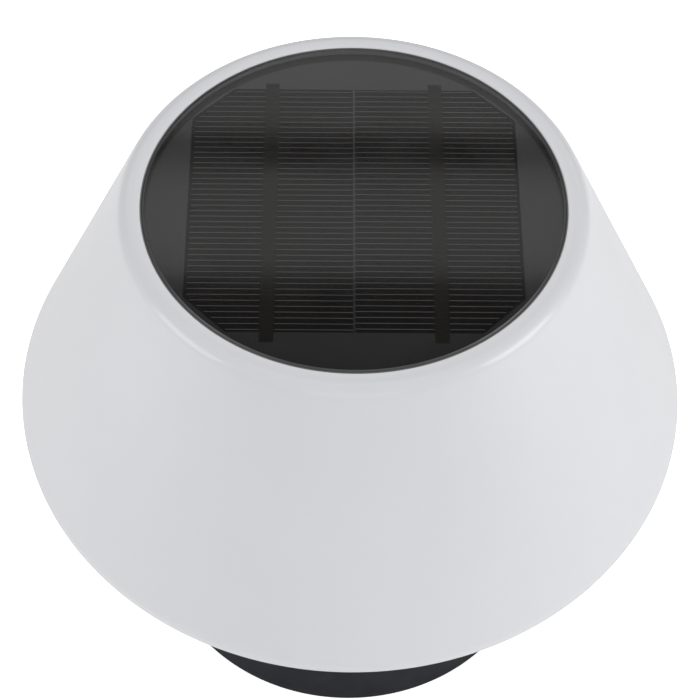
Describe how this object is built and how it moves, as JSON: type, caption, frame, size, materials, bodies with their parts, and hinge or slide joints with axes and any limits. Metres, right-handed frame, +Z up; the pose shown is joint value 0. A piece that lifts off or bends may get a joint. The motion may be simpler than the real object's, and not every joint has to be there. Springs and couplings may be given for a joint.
{
  "type": "solar table lamp",
  "caption": "Free-standing solar lamp: opal cone shade with a round solar panel set in its flat top, on a dark drum foot that holds the batteries and switch.",
  "frame": {"origin": "on the standing surface below the middle of the lamp, at the underside of the rubber pads", "axes": "+Z up along the axis of the shade and foot; -Y is the front, the side of the picture; +X to its right"},
  "size_m": [0.272, 0.272, 0.236],
  "materials": {
    "opal_shade": "opal white polyethylene, silky",
    "clear_cover": "clear toughened glass, polished",
    "silicon_cell": "dark anti-reflective silicon",
    "ribbon": "tinned ribbon darkened by a lacquer",
    "dark_backing": "anthracite back sheet",
    "white_plastic": "moulded white plastic",
    "black_plastic": "moulded black plastic",
    "cream_plastic": "nylon",
    "grey_plastic": "moulded grey plastic",
    "foot_plastic": "anthracite plastic, fine texture",
    "rubber": "matt elastomer",
    "cable_jacket": "matt cable jacket",
    "red_wire": "wire insulation",
    "screw_steel": "zinc plated",
    "aluminium": "plain sheet",
    "white_board": "white solder resist",
    "green_board": "green solder resist",
    "board_part": "moulded epoxy",
    "led_chip": "phosphor resin",
    "cell_sleeve": "shrink sleeve",
    "contact_metal": "nickel plated"
  },
  "bodies": {
    "lamp": {"shade": "opal_shade", "panel_cover": "clear_cover", "cell_left": "silicon_cell", "cell_right": "silicon_cell", "cell_ribbons": "ribbon", "panel_backing": "dark_backing", "panel_tray": "black_plastic", "panel_gasket": "rubber", "tray_clips": "screw_steel", "tray_screws": "screw_steel", "terminal_box": "black_plastic", "panel_cable": "cable_jacket", "shade_seal": "rubber", "clamp_ring": "white_plastic", "clamp_screws": "screw_steel", "led_pedestal": "white_plastic", "pedestal_screws": "screw_steel", "heat_spreader": "aluminium", "led_board": "white_board", "leds": "led_chip", "led_screws": "screw_steel", "led_lead": "red_wire", "foot_housing": "foot_plastic", "cable_grommet": "rubber", "control_board": "green_board", "board_parts": "board_part", "board_connectors": "cream_plastic", "board_screws": "screw_steel", "battery_holder": "black_plastic", "holder_screws": "screw_steel", "battery_cells": "cell_sleeve", "battery_contacts": "contact_metal", "battery_lead": "red_wire", "bottom_cover": "foot_plastic", "cover_seal": "rubber", "cover_screws": "screw_steel", "battery_door": "foot_plastic", "door_seal": "rubber", "door_screws": "screw_steel", "rubber_pads": "rubber", "button_seal": "rubber", "switch_body": "black_plastic", "switch_board": "green_board", "switch_screws": "screw_steel", "switch_lead": "red_wire"},
    "button": {"power_button": "grey_plastic", "switch_plunger": "cream_plastic"}
  },
  "joints": [
    {"name": "button_press", "type": "slide", "parent": "lamp", "child": "button", "axis": [0, 0, 1], "range_m": [0, 0.0015], "stiffness_N_per_m": 1200, "springref_m": -0.0008}
  ]
}
